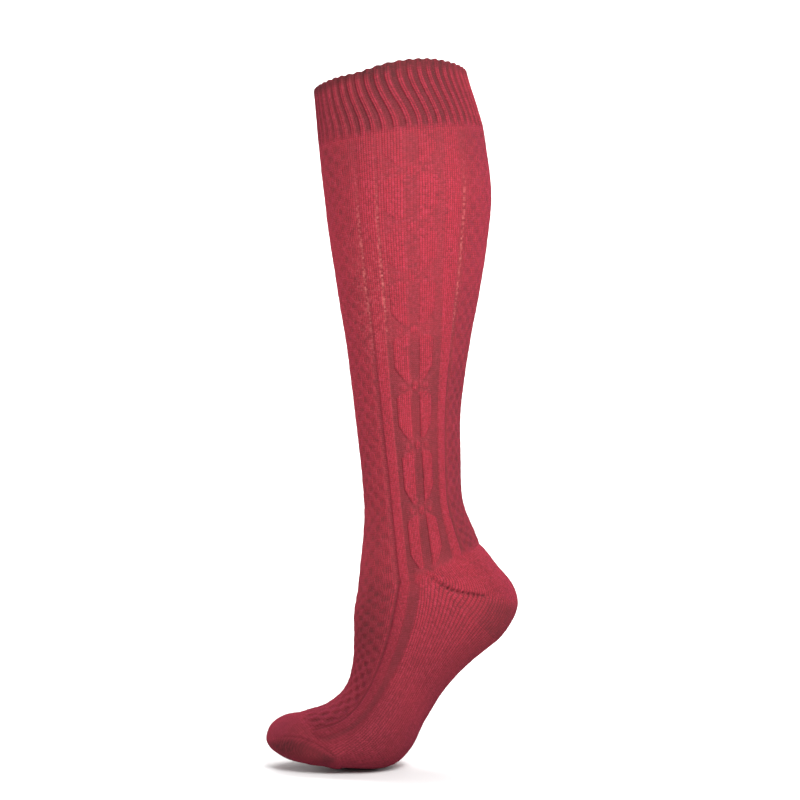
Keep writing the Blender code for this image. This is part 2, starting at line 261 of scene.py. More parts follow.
@dataclass(frozen=True)
class SockForm:
    """The sock's sizes and the courses that follow from them.

    The rows of the heel and the toe are half courses: a share of the turn and one of the reach.
    """

    mouth_depth: float = 0.1128
    mouth_width: float = 0.100
    mouth_tilt: float = 7.1
    mouth_arch: float = 0.0095
    cuff_height: float = 0.0425
    cuff_sway: float = 0.0085
    leg_length: float = 0.320
    calf_depth: float = 0.1235
    calf_width: float = 0.108
    ankle_depth: float = 0.074
    ankle_width: float = 0.062
    gore_depth: float = 0.0975
    gore_width: float = 0.064
    heel_reach: float = 0.0707
    heel_turn: float = 75.2
    foot_drop: float = 0.1302
    foot_run: float = 0.0672
    foot_depth: float = 0.0755
    ball_width: float = 0.084
    toe_reach: float = 0.0540
    toe_width: float = 0.077
    toe_angle: float = 138.4
    toe_turn: float = 149.6
    even_edge: float = 50.4
    toe_drift: float = -3.4
    leg_rows: tuple[Row, ...] = (
        Row(0.000, 0.0000, 0.985, 0.500, 186.6, 0.500, 6.6, 50.4, 50.4, 6.0),
        Row(0.124, 0.0150, 1.000, 0.500, 186.2, 0.500, 6.2, 50.4, 50.4, 2.8),
        Row(0.184, 0.0180, 0.947, 0.500, 185.6, 0.500, 5.6, 50.4, 50.4, 2.0),
        Row(0.322, 0.0196, 0.697, 0.500, 185.6, 0.500, 5.6, 50.6, 50.6, 2.6),
        Row(0.471, 0.0173, 0.362, 0.500, 185.6, 0.500, 5.6, 51.0, 51.0, 4.6),
        Row(0.628, 0.0178, 0.095, 0.508, 187.4, 0.492, 7.4, 52.0, 52.0, 6.8),
        Row(0.760, 0.0346, 0.000, 0.550, 189.6, 0.450, 10.5, 54.5, 53.0, 3.4),
        Row(0.858, 0.0472, -0.030, 0.580, 189.6, 0.420, 14.0, 58.0, 52.0, 0.6),
        Row(1.000, 0.0647, -1.000, 0.561, 193.6, 0.439, 30.2, 65.0, 49.0, 0.0),
    )
    heel_rows: tuple[Pair, ...] = (
        (0.313, 0.711), (0.527, 0.898), (0.658, 0.982), (0.820, 1.000), (1.000, 1.003),
    )
    foot_rows: tuple[Row, ...] = (
        Row(0.182, 0.094, 0.00, 0.662, 187.5, 0.738, -50.7, 62.0, 49.5, 4.6),
        Row(0.364, 0.192, 0.05, 0.570, 180.5, 0.597, -56.0, 60.0, 50.0, 5.0),
        Row(0.563, 0.324, 0.25, 0.472, 166.0, 0.522, -61.0, 58.0, 50.4, 2.7),
        Row(0.744, 0.479, 0.62, 0.430, 156.0, 0.502, -63.0, 57.0, 50.4, -2.6),
        Row(0.892, 0.699, 1.00, 0.460, 147.0, 0.400, -62.0, 55.0, 50.4, -4.0),
    )
    toe_rows: tuple[Pair, ...] = (
        (0.000, 0.738), (0.095, 0.920), (0.165, 1.000), (0.245, 0.977),
        (0.320, 0.765), (0.403, 0.500), (0.573, 0.290), (1.000, 0.235),
    )

    def between(self, swell: float, ankle: float, calf: float, gore: float) -> float:
        """Size a section of the leg: its swell is 0 at the ankle, 1 at the calf, -1 at the gore."""
        return mix(ankle, calf if swell > 0.0 else gore, abs(swell))

    def section(self, row: Row, start: Pair, way: Pair, depth: float, width: float) -> Course:
        """Turn one row of a table into its course.

        Args:
            row: The row.
            start: Where the piece starts, in X and Z.
            way: How far the piece goes in X and Z.
            depth: The depth there.
            width: The width there.

        Returns:
            The course.
        """
        return Course(
            side_x=start[0] + row.along * way[0],
            side_z=start[1] + row.down * way[1],
            half_width=width / 2.0,
            front_reach=row.front_reach * depth,
            front_angle=row.front_angle,
            back_reach=row.back_reach * depth,
            back_angle=row.back_angle,
            edge=row.edge,
            back_edge=row.back_edge,
            drift=row.drift,
        )

    def cuff(self) -> list[Station]:
        """Run from the opening, with the origin in its middle, down to the leg.

        Returns:
            The cuff's stations.
        """
        half = self.mouth_depth / 2.0
        mouth = Course(0.0, 0.0, self.mouth_width / 2.0, half, 180.0 + self.mouth_tilt, half,
                       self.mouth_tilt, self.even_edge, self.even_edge, 0.0, self.mouth_arch)
        return [Station(0.0, mouth), Station(1.0, self.leg()[0].course)]

    def leg(self) -> list[Station]:
        """Run from the cuff down to the gore's corner.

        Returns:
            The leg's stations.
        """
        start, way = (self.cuff_sway, -self.cuff_height), (self.leg_length, -self.leg_length)
        stations = []
        for row in self.leg_rows:
            depth = self.between(row.swell, self.ankle_depth, self.calf_depth, self.gore_depth)
            width = self.between(row.swell, self.ankle_width, self.calf_width, self.gore_width)
            stations.append(Station(row.down, self.section(row, start, way, depth, width)))
        return stations

    def gore(self) -> Course:
        """Give the course through the gore's corner."""
        return self.leg()[-1].course

    def pocket(self, corner: Course, first_angle: float, turn: float, reach: float,
               rows: tuple[Pair, ...]) -> list[Station]:
        """Turn half courses about a corner, in their back halves.

        Args:
            corner: A course whose side line passes through the corner.
            first_angle: Direction of the first half course.
            turn: The pocket's whole turn.
            reach: The pocket's reach.
            rows: Its table.

        Returns:
            The pocket's stations.
        """
        return [
            Station(turned, replace(corner, back_reach=reached * reach,
                                    back_angle=first_angle + turned * turn))
            for turned, reached in rows
        ]

    def heel(self) -> list[Station]:
        """Run from the leg's back half course down to the sole's.

        Returns:
            The heel's stations.
        """
        gore = self.gore()
        rows = self.pocket(gore, gore.back_angle, -self.heel_turn, self.heel_reach, self.heel_rows)
        return [Station(0.0, gore), *rows]

    def toe_course(self) -> Course:
        """Give the course between the foot and the toe.

        Returns:
            The course.
        """
        gore = self.gore()
        return Course(
            side_x=gore.side_x - self.foot_run,
            side_z=gore.side_z - self.foot_drop,
            half_width=self.toe_width / 2.0,
            front_reach=self.toe_rows[0][1] * self.toe_reach,
            front_angle=self.toe_angle,
            back_reach=self.toe_rows[-1][1] * self.toe_reach,
            back_angle=self.toe_angle + self.toe_turn - 360.0,
            edge=self.even_edge,
            back_edge=self.even_edge,
            drift=self.toe_drift,
        )

    def toe(self) -> list[Station]:
        """Run from the instep's half course round the tip to the sole's."""
        return self.pocket(self.toe_course(), self.toe_angle, self.toe_turn, self.toe_reach,
                           self.toe_rows)

    def foot(self) -> list[Station]:
        """Run from under the leg and the heel to the toe.

        Returns:
            The foot's stations.
        """
        gore, sole = self.gore(), self.heel()[-1].course
        start, way = (gore.side_x, gore.side_z), (-self.foot_run, -self.foot_drop)
        stations = [
            Station(0.0, replace(gore, back_reach=sole.back_reach, back_angle=sole.back_angle))
        ]
        for row in self.foot_rows:
            width = mix(self.gore_width, self.ball_width, row.swell)
            course = self.section(row, start, way, self.foot_depth, width)
            stations.append(Station(row.down, course))
        return [*stations, Station(1.0, self.toe_course())]


class Stitch(NamedTuple):
    """A chart place: height, share of purl, painted shade and painted light that shows through."""

    lift: float = 0.0
    purl: float = 0.0
    # Painted shade in grooves, cells, creases and eyelets, and over broad areas the lights leave
    # dim.
    painted_shade: float = 0.0
    glow: float = 0.0

    def scaled(self, share: float) -> "Stitch":
        """Weaken the stitch."""
        return Stitch(*(number * share for number in self))

    def joined(self, other: "Stitch") -> "Stitch":
        """Add another stitch to it."""
        return Stitch(*(mine + theirs for mine, theirs in zip(self, other)))


INSIDE = Stitch(purl=1.0)


@dataclass(frozen=True)
class RibChart:
    """The cuff's ribs, two knit wales and two purl ones in turn."""

    rise: float = 0.0013
    repeat: int = 4
    knit: float = 2.2
    crown_power: float = 0.40
    dent: float = 0.18
    dent_width: float = 0.3
    crown_shade: float = 0.5
    groove_sag: float = 0.1
    groove_shade: Pair = (0.5, 0.6)

    def stitch(self, wale: float) -> Stitch:
        """Read the chart.

        Args:
            wale: The wale.

        Returns:
            The stitch there.
        """
        place = wale % self.repeat
        if place < self.knit:
            crown = math.sin(math.pi * place / self.knit) ** self.crown_power
            crown *= 1.0 - self.dent * bell(place - 0.5 * self.knit, self.dent_width)
            return Stitch(self.rise * (crown - 0.5), 0.0, self.crown_shade * (1.0 - crown))
        groove = math.sin(math.pi * (place - self.knit) / (self.repeat - self.knit))
        shade = self.groove_shade[0] + self.groove_shade[1] * groove
        return Stitch(-self.rise * (0.5 + self.groove_sag * groove), 1.0, shade)


@dataclass(frozen=True)
class HoneycombChart:
    """Cables two wales wide that sway apart and touch in turn, round staggered sunk cells."""

    rise: float = 0.0013
    level: float = 0.55
    cell: float = 0.62
    knot: float = -0.50
    shade_from: float = -0.25
    shade_to: float = 0.90
    # Least painted shade, on the cables round the sunk cells.
    ground: float = 0.30
    sway: float = 0.6

    def stitch(self, wale: float, course: float) -> Stitch:
        """Read the chart.

        Args:
            wale: Wales from the middle of the panel.
            course: Courses from the top.

        Returns:
            The stitch there.
        """
        depth = math.cos(math.tau * wale / PERIOD) * math.cos(math.tau * course / PERIOD)
        sunk = ramp(depth, self.knot, self.cell)
        shade = mix(self.ground, 1.0, ramp(depth, self.shade_from, self.shade_to))
        return Stitch(self.rise * (self.level - sunk), 0.0, shade)

    def swayed(self, wale: float, course: float) -> float:
        """Spread the wales over the sunk cells and crowd them where the cables touch."""
        turn = math.tau / PERIOD
        return wale - self.sway * math.sin(turn * wale) * math.cos(turn * course)


@dataclass(frozen=True)
class SideChart:
    """The side panel: rib, channel, two cables that meet at crossings, channel and rib."""

    PANEL = 28.0
    middle: float = 49.6
    rib: Pair = (30.3, 36.8)
    high_back_rib: Pair = (61.8, 69.0)
    low_back_rib: Pair = (64.4, 70.4)
    crossings: tuple[float, ...] = (-0.035, 0.087, 0.212, 0.323, 0.443, 0.571, 0.704, 0.849, 0.996)
    rise: float = 0.0009
    sink: float = 0.0004
    cable_span: Pair = (0.06, 0.95)
    cable_ends: Pair = (0.10, 0.30)
    cable_start: float = 3.2
    cable_spread: float = 6.2
    cable_bow: float = 0.85
    cable_inside: float = 2.5
    cable_pinch: float = 0.7
    knot_size: Pair = (1.9, 0.013)
    leaf_size: Pair = (2.0, 0.010)
    leaf_wale: float = 5.8
    leaf_rise: float = 0.75
    ground_rise: float = 0.5
    ground_wales: Pair = (7.0, 10.0)
    ground_courses: Pair = (0.012, 0.026)
    open_until: Pair = (0.30, 0.52)
    thin_rib: Pair = (37.9, 39.7)
    thin_rib_rise: float = 0.7
    open_lines: tuple[Pair, ...] = ((36.8, 37.9), (28.4, 29.6), (70.2, 71.4))
    open_start: Pair = (0.05, 0.2)
    open_glow: float = 0.70
    shade: float = 0.9
    front_shade: float = 0.35

    def phase(self, place: float) -> Pair:
        """Find how far along its cable a place lies.

        Args:
            place: Share of the leg's length from the cuff.

        Returns:
            The share of the cable, and the shares of the leg's length to the nearest crossing.
        """
        for low, high in zip(self.crossings, self.crossings[1:]):
            if place <= high:
                return (place - low) / (high - low), min(place - low, high - place)
        return 1.0, place - self.crossings[-1]

    def cable(self, from_middle: float, share: float) -> float:
        """Find how high a cable stands.

        Args:
            from_middle: Wales from the side line.
            share: Share of the cable's length.

        Returns:
            0 beside the cable, 1 on its body.
        """
        from_top = (share - self.cable_span[0]) / self.cable_ends[0]
        from_end = min(from_top, (self.cable_span[1] - share) / self.cable_ends[1])
        if from_end <= 0.0:
            return 0.0
        outer = self.cable_start + self.cable_spread * min(from_end, 1.0) ** self.cable_bow
        inner = self.cable_inside - self.cable_pinch * (2.0 * share - 1.0) ** 2
        return min(1.0, 3.0 * from_end) * band(from_middle, inner, outer, 0.6)

    def ornaments(self, from_middle: float, from_crossing: float) -> float:
        """Find how high the knot and the leaves at a crossing stand.

        Args:
            from_middle: Wales from the side line.
            from_crossing: Shares of the leg's length from the crossing.

        Returns:
            0 on the ground, 1 on a crown.
        """
        knot = math.hypot(from_middle / self.knot_size[0], from_crossing / self.knot_size[1])
        leaf = math.hypot((from_middle - self.leaf_wale) / self.leaf_size[0],
                          from_crossing / self.leaf_size[1])
        moat = max(band(middle, 0.95, 1.35, 0.2) for middle in (knot, leaf))
        ground = fall(from_crossing, *self.ground_courses) * fall(from_middle, *self.ground_wales)
        crown = max(fall(knot, 0.55, 0.95), self.leaf_rise * fall(leaf, 0.45, 0.95))
        return max(crown, self.ground_rise * ground * (1.0 - 0.6 * moat))

    def stitch(self, wale: float, place: float) -> Stitch:
        """Read the chart.

        Args:
            wale: The wale, 28 to 72.
            place: Share of the leg's length from the cuff.

        Returns:
            The stitch there.
        """
        share, from_crossing = self.phase(place)
        from_middle = abs(wale - self.middle)
        open_part = fall(place, *self.open_until)
        low, high = (mix(above, below, 1.0 - open_part)
                     for above, below in zip(self.high_back_rib, self.low_back_rib))
        knit = band(wale, *self.rib, 0.95) + band(wale, low, high, 0.8)
        knit = min(1.0, knit + self.thin_rib_rise * band(wale, *self.thin_rib, 0.5) * open_part)
        if self.rib[1] < wale < low:
            ornament = self.ornaments(from_middle, from_crossing)
            knit = max(knit, self.cable(from_middle, share), ornament)
        lit = sum(band(wale, *line, 0.4) for line in self.open_lines)
        glow = self.open_glow * lit * open_part * ramp(place, *self.open_start)
        lift = (self.rise + self.sink) * knit - self.sink
        shade = self.shade * (1.0 - knit) * (1.0 - 0.8 * lit * open_part)
        if wale < self.rib[0]:
            shade *= self.front_shade
        return Stitch(lift, 1.0 - ramp(knit, 0.1, 0.9), shade, glow)


@dataclass(frozen=True)
class GoreLine:
    """The crease where a pocket's short rows turn, with small eyelets along it.

    Each of its points is a share of the pocket's reach and a share of its turn.
    """

    points: tuple[Pair, ...]
    eyelets: int = 0
    depth: float = 0.0006
    half_width: float = 0.0010
    shade_width: float = 0.006
    shade: float = 0.0
    shade_fade: Pair = (2.0, 3.0)
    fade: Pair = (2.0, 3.0)
    crease_shade: float = 0.6
    ridge: float = 0.8
    ridge_place: float = 2.2
    eyelet: float = 1.6
    eyelet_span: Pair = (0.12, 0.62)

    def share(self, reach_share: float) -> float:
        """Find the crease's turn.

        Args:
            reach_share: Distance from the corner as a share of the pocket's reach.

        Returns:
            The share of the pocket's turn at which it lies.
        """
        for (near, low), (far, high) in zip(self.points, self.points[1:]):
            if reach_share <= far:
                return mix(low, high, max(0.0, reach_share - near) / (far - near))
        return self.points[-1][1]

    def stitch(self, reach_share: float, place: float, distance: float) -> Stitch:
        """Sink the crease and its eyelets, and shade what lies past it.

        Args:
            reach_share: Distance from the corner as a share of the pocket's reach.
            place: Share of the pocket's turn.
            distance: Metres past the crease, along the fabric.

        Returns:
            The stitch there.
        """
        crease = bell(distance, self.half_width)
        ridge = bell(distance + self.ridge_place * self.half_width, self.half_width)
        eyelet = 0.0
        if self.eyelets:
            beat = 0.5 - 0.5 * math.cos(math.tau * reach_share * self.eyelets)
            eyelet = self.eyelet * crease * beat**2 * band(reach_share, *self.eyelet_span, 0.08)
        below = self.shade * ramp(distance, 0.0, self.shade_width) * fall(place, *self.shade_fade)
        strength = fall(reach_share, *self.fade)
        shade = max(below, self.crease_shade * crease * strength) + eyelet
        lift = self.depth * strength * (self.ridge * ridge - crease - 1.5 * eyelet)
        return Stitch(lift, 0.0, shade)


def maths(operation: str, *fixed: float) -> Callable[..., "Socket"]:
    """Make a method of Socket that adds a Math node.

    Args:
        operation: The node's operation.
        fixed: Inputs that it always has.

    Returns:
        The method.
    """

    def add_node(socket: "Socket", *others: "Socket | float") -> "Socket":
        """Add the node with the socket as its first input."""
        inputs = dict(enumerate((socket, *others, *fixed)))
        return socket.dye.node("ShaderNodeMath", {"operation": operation}, inputs)

    return add_node


class Socket:
    """A node's output with arithmetic, so that shader maths reads as an expression."""

    def __init__(self, dye: "DyeBath", link: bpy.types.NodeSocket) -> None:
        """Wrap an output of a material under work."""
        self.dye = dye
        self.link = link

    __add__ = __radd__ = maths("ADD")
    __mul__ = __rmul__ = maths("MULTIPLY")
    __sub__ = maths("SUBTRACT")
    __pow__ = maths("POWER")
    floor = maths("FLOOR")
    fract = maths("FRACT")
    size = maths("ABSOLUTE")
    cosine = maths("COSINE")
    positive = maths("MAXIMUM", 0.0)

    def __rsub__(self, other: float) -> "Socket":
        """Subtract from a number."""
        return self * -1.0 + other

    def hump(self) -> "Socket":
        """Turn 0 to 1 into a round hump that is 0 at both ends."""
        centred = self * 2.0 - 1.0
        return 1.0 - centred * centred

    def above(self, start: float) -> "Socket":
        """Give how far it lies above a start, and 0 below it."""
        return (self - start).positive()


class DyeBath:
    """A material under work."""

    def __init__(self, name: str) -> None:
        """Start an empty material.

        Args:
            name: Its name.
        """
        self.material = bpy.data.materials.new(name)
        self.material.use_nodes = True
        self.tree = self.material.node_tree
        self.tree.nodes.clear()

    def node(self, kind: str, settings: dict[str, object],
             inputs: dict[int | str, object], output: int | str = 0) -> Socket:
        """Add a node.

        Args:
            kind: Its type.
            settings: Its properties, set before its sockets.
            inputs: The values or links of its sockets, by number or name.
            output: The output to return.

        Returns:
            That output.
        """
        made = self.tree.nodes.new(kind)
        for key, value in settings.items():
            setattr(made, key, value)
        for key, value in inputs.items():
            if isinstance(value, Socket):
                self.tree.links.new(value.link, made.inputs[key])
            else:
                made.inputs[key].default_value = value
        return Socket(self, made.outputs[output])

    def blend(self, low: object, high: object, factor: "Socket | float") -> Socket:
        """Mix two colours, the first where the factor is 0."""
        return self.node("ShaderNodeMix", {"data_type": "RGBA"}, {0: factor, 6: low, 7: high}, 2)

    def noise(self, place: Socket, scale: float, detail: float, roughness: float) -> Socket:
        """Add a cloudy noise."""
        return self.node("ShaderNodeTexNoise", {}, {
            "Vector": place, "Scale": scale, "Detail": detail, "Roughness": roughness})

    def dice(self, dimensions: str, name: str, place: Socket) -> Socket:
        """Add a noise that throws a number from 0 to 1 for every place."""
        return self.node("ShaderNodeTexWhiteNoise", {"noise_dimensions": dimensions}, {name: place})

    def surface(self, shader: Socket) -> bpy.types.Material:
        """Show a shader on the surface and give the finished material."""
        end = self.tree.nodes.new("ShaderNodeOutputMaterial")
        self.tree.links.new(shader.link, end.inputs["Surface"])
        return self.material

    def attribute(self, name: str) -> Socket:
        """Read a number that the mesh holds."""
        return self.node("ShaderNodeAttribute", {"attribute_name": name}, {}, "Fac")


class Tone(Enum):
    """The yarn's colours.

    KNIT and PURL are the two stitches, FIBRE the loose fibre ends and LIT painted light that shows
    through a stitch. The others are painted shade: both stitches darker towards the bottom of the
    sock, the dark between stitches, and SHADOW, that dark lower down.
    """

    KNIT = (0.478, 0.036, 0.059, 1.0)
    PURL = (0.380, 0.038, 0.054, 1.0)
    # Painted shade between stitches; the random dark specks take this colour too.
    GAP_SHADE = (0.095, 0.028, 0.030, 1.0)
    FIBRE = (0.680, 0.080, 0.145, 1.0)
    LIT = (0.800, 0.250, 0.210, 1.0)
    # Painted shade: both stitches darker towards the bottom of the sock.
    LOWER_SHADE = (0.142, 0.024, 0.034, 1.0)
    SHADOW = (0.042, 0.015, 0.016, 1.0)


@dataclass(frozen=True)
class WoolFinish:
    """Crimson wool yarn, worked in knit and purl stitches that follow the stitch map."""

    stitch_depth: float = 0.0004
    fuzz_scale: float = 1200.0
    mottle_scale: float = 400.0
    cloud_scale: float = 24.0
    # Painted shade: the yarn darkens between these heights towards the bottom of the sock.
    lower_shade_from: float = -0.32
    lower_shade_to: float = -0.47
    lower_shade_share: float = 0.75
    # Painted shade over a whole piece, on top of the darkening towards the bottom.
    overall_shade: float = 0.0
    crown: float = 0.95
    lower_shade_crown: float = 0.25
    least_crown: float = 0.08
    dark_stitches: float = 0.35
    dark_wales: float = 0.12
    pale_stitches: Pair = (0.70, 0.5)
    pale_fuzz: Pair = (0.50, 0.9)
    dark_mottle: Pair = (0.48, 1.6)
    dark_cloud: Pair = (0.45, 0.9)
    painted_shade_share: Pair = (0.25, 0.26)
    fuzz_height: float = 0.35
    roughness: float = 0.88
    sheen: float = 0.16
    sheen_roughness: float = 0.14
    sheen_tint: Colour = (1.0, 0.08, 0.28, 1.0)

    def knit_height(self, wale: Socket, course: Socket) -> Socket:
        """Shape knit stitches, columns of small V forms.

        Args:
            wale: Wales across.
            course: Courses down.

        Returns:
            Their height, 0 to 1.
        """
        across = (wale.fract() * 2.0 - 1.0).size()
        column = 1.0 - across**3.0
        strand = (course + across * 0.55).fract().hump()
        return column * (strand * 0.65 + 0.35)

    def purl_height(self, wale: Socket, course: Socket) -> Socket:
        """Shape purl stitches, rows of small arcs, 0 to 1 high."""
        arc = (wale * math.tau).cosine()
        return (course + arc * 0.2).fract().hump() * (arc * 0.2 + 0.7)

    def make(self, name: str) -> bpy.types.Material:
        """Build the material.

        Args:
            name: Its name.

        Returns:
            The finished material.
        """
        dye = DyeBath(name)
        stitches = dye.node("ShaderNodeUVMap", {"uv_map": "stitches"}, {})
        wale = dye.node("ShaderNodeSeparateXYZ", {}, {0: stitches})
        course = Socket(dye, wale.link.node.outputs[1])
        purl, painted_shade, glow = (dye.attribute(name) for name in ("purl", "painted_shade", "glow"))
        place = dye.node("ShaderNodeTexCoord", {}, {}, "Object")
        height = Socket(dye, dye.node("ShaderNodeSeparateXYZ", {}, {0: place}).link.node.outputs[2])
        fuzz = dye.noise(place, self.fuzz_scale, 1.0, 0.5)
        cloud = dye.noise(place, self.cloud_scale, 3.0, 0.55)
        mottle = dye.noise(place, self.mottle_scale, 2.0, 0.6)
        one_stitch = dye.node("ShaderNodeCombineXYZ", {}, {0: wale.floor(), 1: course.floor()})
        speck = dye.dice("2D", "Vector", one_stitch)
        streak = dye.dice("1D", "W", wale.floor())
        knit = self.knit_height(wale, course)
        stitch = knit * (1.0 - purl) + self.purl_height(wale, course) * purl
        # Painted shade towards the bottom of the sock, by height: 0 above, 1 below.
        lower_shade = dye.node("ShaderNodeMapRange", {"interpolation_type": "SMOOTHSTEP"}, {
            "Value": height, "From Min": self.lower_shade_from, "From Max": self.lower_shade_to})
        lower_shade_mix = lower_shade * (self.lower_shade_share - self.overall_shade) + self.overall_shade
        dark = lower_shade * (1.0 - self.overall_shade) + self.overall_shade
        grain = 1.0 - dark * 0.5
        gap_shade = dye.blend(Tone.GAP_SHADE.value, Tone.SHADOW.value, dark)
        yarn = dye.blend(dye.blend(Tone.KNIT.value, Tone.PURL.value, purl), Tone.LOWER_SHADE.value, lower_shade_mix)
        # Painted shade by stitch height: crowns show the yarn, the dips between stitches the gap
        # colour.
        lit = stitch * self.crown + lower_shade * lower_shade * self.lower_shade_crown + self.least_crown
        colour = dye.blend(gap_shade, yarn, lit)
        dark_stitch = (self.dark_stitches - speck).positive() * grain * 0.9
        painted_shade_share = speck * self.painted_shade_share[1] + self.painted_shade_share[0]
        # Random dark specks, streaks, fibre and mottle; then the charts' painted shade and painted
        # light.
        for tint, share in (
            (gap_shade, dark_stitch + streak * self.dark_wales),
            (Tone.FIBRE.value, speck.above(self.pale_stitches[0]) * grain * self.pale_stitches[1]),
            (Tone.FIBRE.value, fuzz.above(self.pale_fuzz[0]) * grain * self.pale_fuzz[1]),
            (gap_shade, mottle.above(self.dark_mottle[0]) * grain * self.dark_mottle[1]),
            (gap_shade, painted_shade * painted_shade_share),
            (Tone.PURL.value, cloud.above(self.dark_cloud[0]) * self.dark_cloud[1]),
            (Tone.LIT.value, glow * speck * speck),
        ):
            colour = dye.blend(colour, tint, share)
        normal = dye.node("ShaderNodeBump", {}, {"Strength": 1.0, "Distance": self.stitch_depth,
                                                 "Height": stitch + fuzz * self.fuzz_height})
        shader = dye.node("ShaderNodeBsdfPrincipled", {}, {
            "Base Color": colour, "Roughness": self.roughness, "Normal": normal,
            "Sheen Weight": self.sheen, "Sheen Roughness": self.sheen_roughness,
            "Sheen Tint": self.sheen_tint, "Specular IOR Level": 0.0,
        })
        return dye.surface(shader)


class WallRow(NamedTuple):
    """One row of a wall's grid: its place, how far it lies inside, how far over the edge."""

    place: float
    depth: float
    rise: float


@dataclass
class KnitPiece:
    """A wall of knitting that stands for one node."""

    form: SockForm
    node: str
    rows: int
    columns: int
    wall: float = 0.0020
    first_wale: float = 0.0
    last_wale: float = float(WALES)
    inner_rows: int = 10
    rim_rows: int = 0
    weld: float = 0.00001
    finish: WoolFinish = WoolFinish()

    def stations(self) -> list[Station]:
        """Give the piece's courses, which the form has under the node's name."""
        return getattr(self.form, self.node)()

    def stitch(self, course: Course, wale: float, place: float) -> Stitch:
        """Read the piece's chart; plain knitting unless it says otherwise."""
        return Stitch()

    def stitch_map(self, course: Course, wale: float, place: float, past: bool) -> Pair:
        """Count the wales and the courses of stitches to a place, which may be past a gore."""
        raise NotImplementedError

    def past_gore(self, wale: float, place: float) -> bool:
        """Tell whether a place lies past a gore line; a piece without one has no such place."""
        return False

    def spot(self, corner: Vector, steps: int) -> tuple[int, float]:
        """Find which row and wale a corner of the flat grid stands for.

        Args:
            corner: The corner, on a grid one metre square.
            steps: Rows of faces in the grid.

        Returns:
            The row's number and the wale.
        """
        share = round((corner.x + 0.5) * self.columns) / self.columns
        return round((corner.y + 0.5) * steps), mix(self.first_wale, self.last_wale, share)

    def edge_wave(self, wale: float, row: WallRow) -> float:
        """Move a place up or down near a free edge; a piece without one has none."""
        return 0.0

    def first_border(self) -> int:
        """Give the first row, a hard border where there is no rim."""
        return -1 if self.rim_rows else 0

    def wall_rows(self) -> list[WallRow]:
        """List the grid's rows: down the outside, up the inside, over the rim and closed.

        Returns:
            The rows.
        """
        outside = [WallRow(step / self.rows, 0.0, 0.0) for step in range(self.rows + 1)]
        back_up = range(self.inner_rows, -1, -1)
        inside = [WallRow(step / self.inner_rows, 1.0, 0.0) for step in back_up]
        rim = []
        for step in range(1, self.rim_rows):
            angle = math.pi * step / self.rim_rows
            rim.append(WallRow(0.0, 0.5 + 0.5 * math.cos(angle), 0.5 * math.sin(angle)))
        return [*outside, *inside, *rim, outside[0]]

    def build(self) -> bpy.types.Object:
        """Build and dress the wall.

        Returns:
            The finished object.
        """
        stations = self.stations()
        wall_rows = self.wall_rows()
        steps = len(wall_rows) - 1
        bm = bmesh.new()
        stitch_map = bm.loops.layers.uv.new("stitches")
        purl, painted_shade, glow, border = (
            bm.verts.layers.float.new(name) for name in ("purl", "painted_shade", "glow", "border")
        )
        grid = bmesh.ops.create_grid(bm, x_segments=self.columns, y_segments=steps, size=0.5)
        courses = [course_at(stations, row.place) for row in wall_rows]
        for face in bm.faces:
            spots = [self.spot(vert.co, steps) for vert in face.verts]
            past = self.past_gore(
                sum(wale for _, wale in spots) / len(spots),
                sum(wall_rows[index].place for index, _ in spots) / len(spots),
            )
            for loop, (index, wale) in zip(face.loops, spots):
                place = wall_rows[index].place
                loop[stitch_map].uv = self.stitch_map(courses[index], wale, place, past)
        for vert in grid["verts"]:
            index, wale = self.spot(vert.co, steps)
            row, course = wall_rows[index], courses[index]
            stitch = self.stitch(course, wale, row.place) if row.depth < 1.0 else INSIDE
            outside = 1.0 - row.depth
            vert[purl] = stitch.purl * outside + row.depth
            vert[painted_shade] = stitch.painted_shade * outside
            vert[glow] = stitch.glow * outside
            vert[border] = float(index in (self.first_border(), self.rows))
            lift = stitch.lift * outside - self.wall * row.depth
            vert.co = course.point(wale, lift + slack(course.point(wale, 0.0)))
            vert.co.z += self.wall * row.rise + self.edge_wave(wale, row)
        bmesh.ops.remove_doubles(bm, verts=bm.verts[:], dist=self.weld)
        for edge in bm.edges:
            edge.smooth = not all(vert[border] for vert in edge.verts)
        bm.verts.layers.float.remove(bm.verts.layers.float["border"])
        if bm.calc_volume(signed=True) < 0.0:
            bmesh.ops.reverse_faces(bm, faces=bm.faces[:])
        return self.dress(bm)

    def dress(self, bm: bmesh.types.BMesh) -> bpy.types.Object:
        """Turn the mesh into an object that stands for its node.

        Args:
            bm: The wall; it is freed.

        Returns:
            The object.
        """
        mesh = bpy.data.meshes.new(f"{self.node}_knitting")
        bm.to_mesh(mesh)
        bm.free()
        mesh.materials.append(self.finish.make(f"{self.node}_wool"))
        piece = bpy.data.objects.new(f"{self.node}_knitting", mesh)
        bpy.context.scene.collection.objects.link(piece)
        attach(piece, "root")
        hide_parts(self.node)
        LOG.info("%s: %d faces", piece.name, len(mesh.polygons))
        return piece


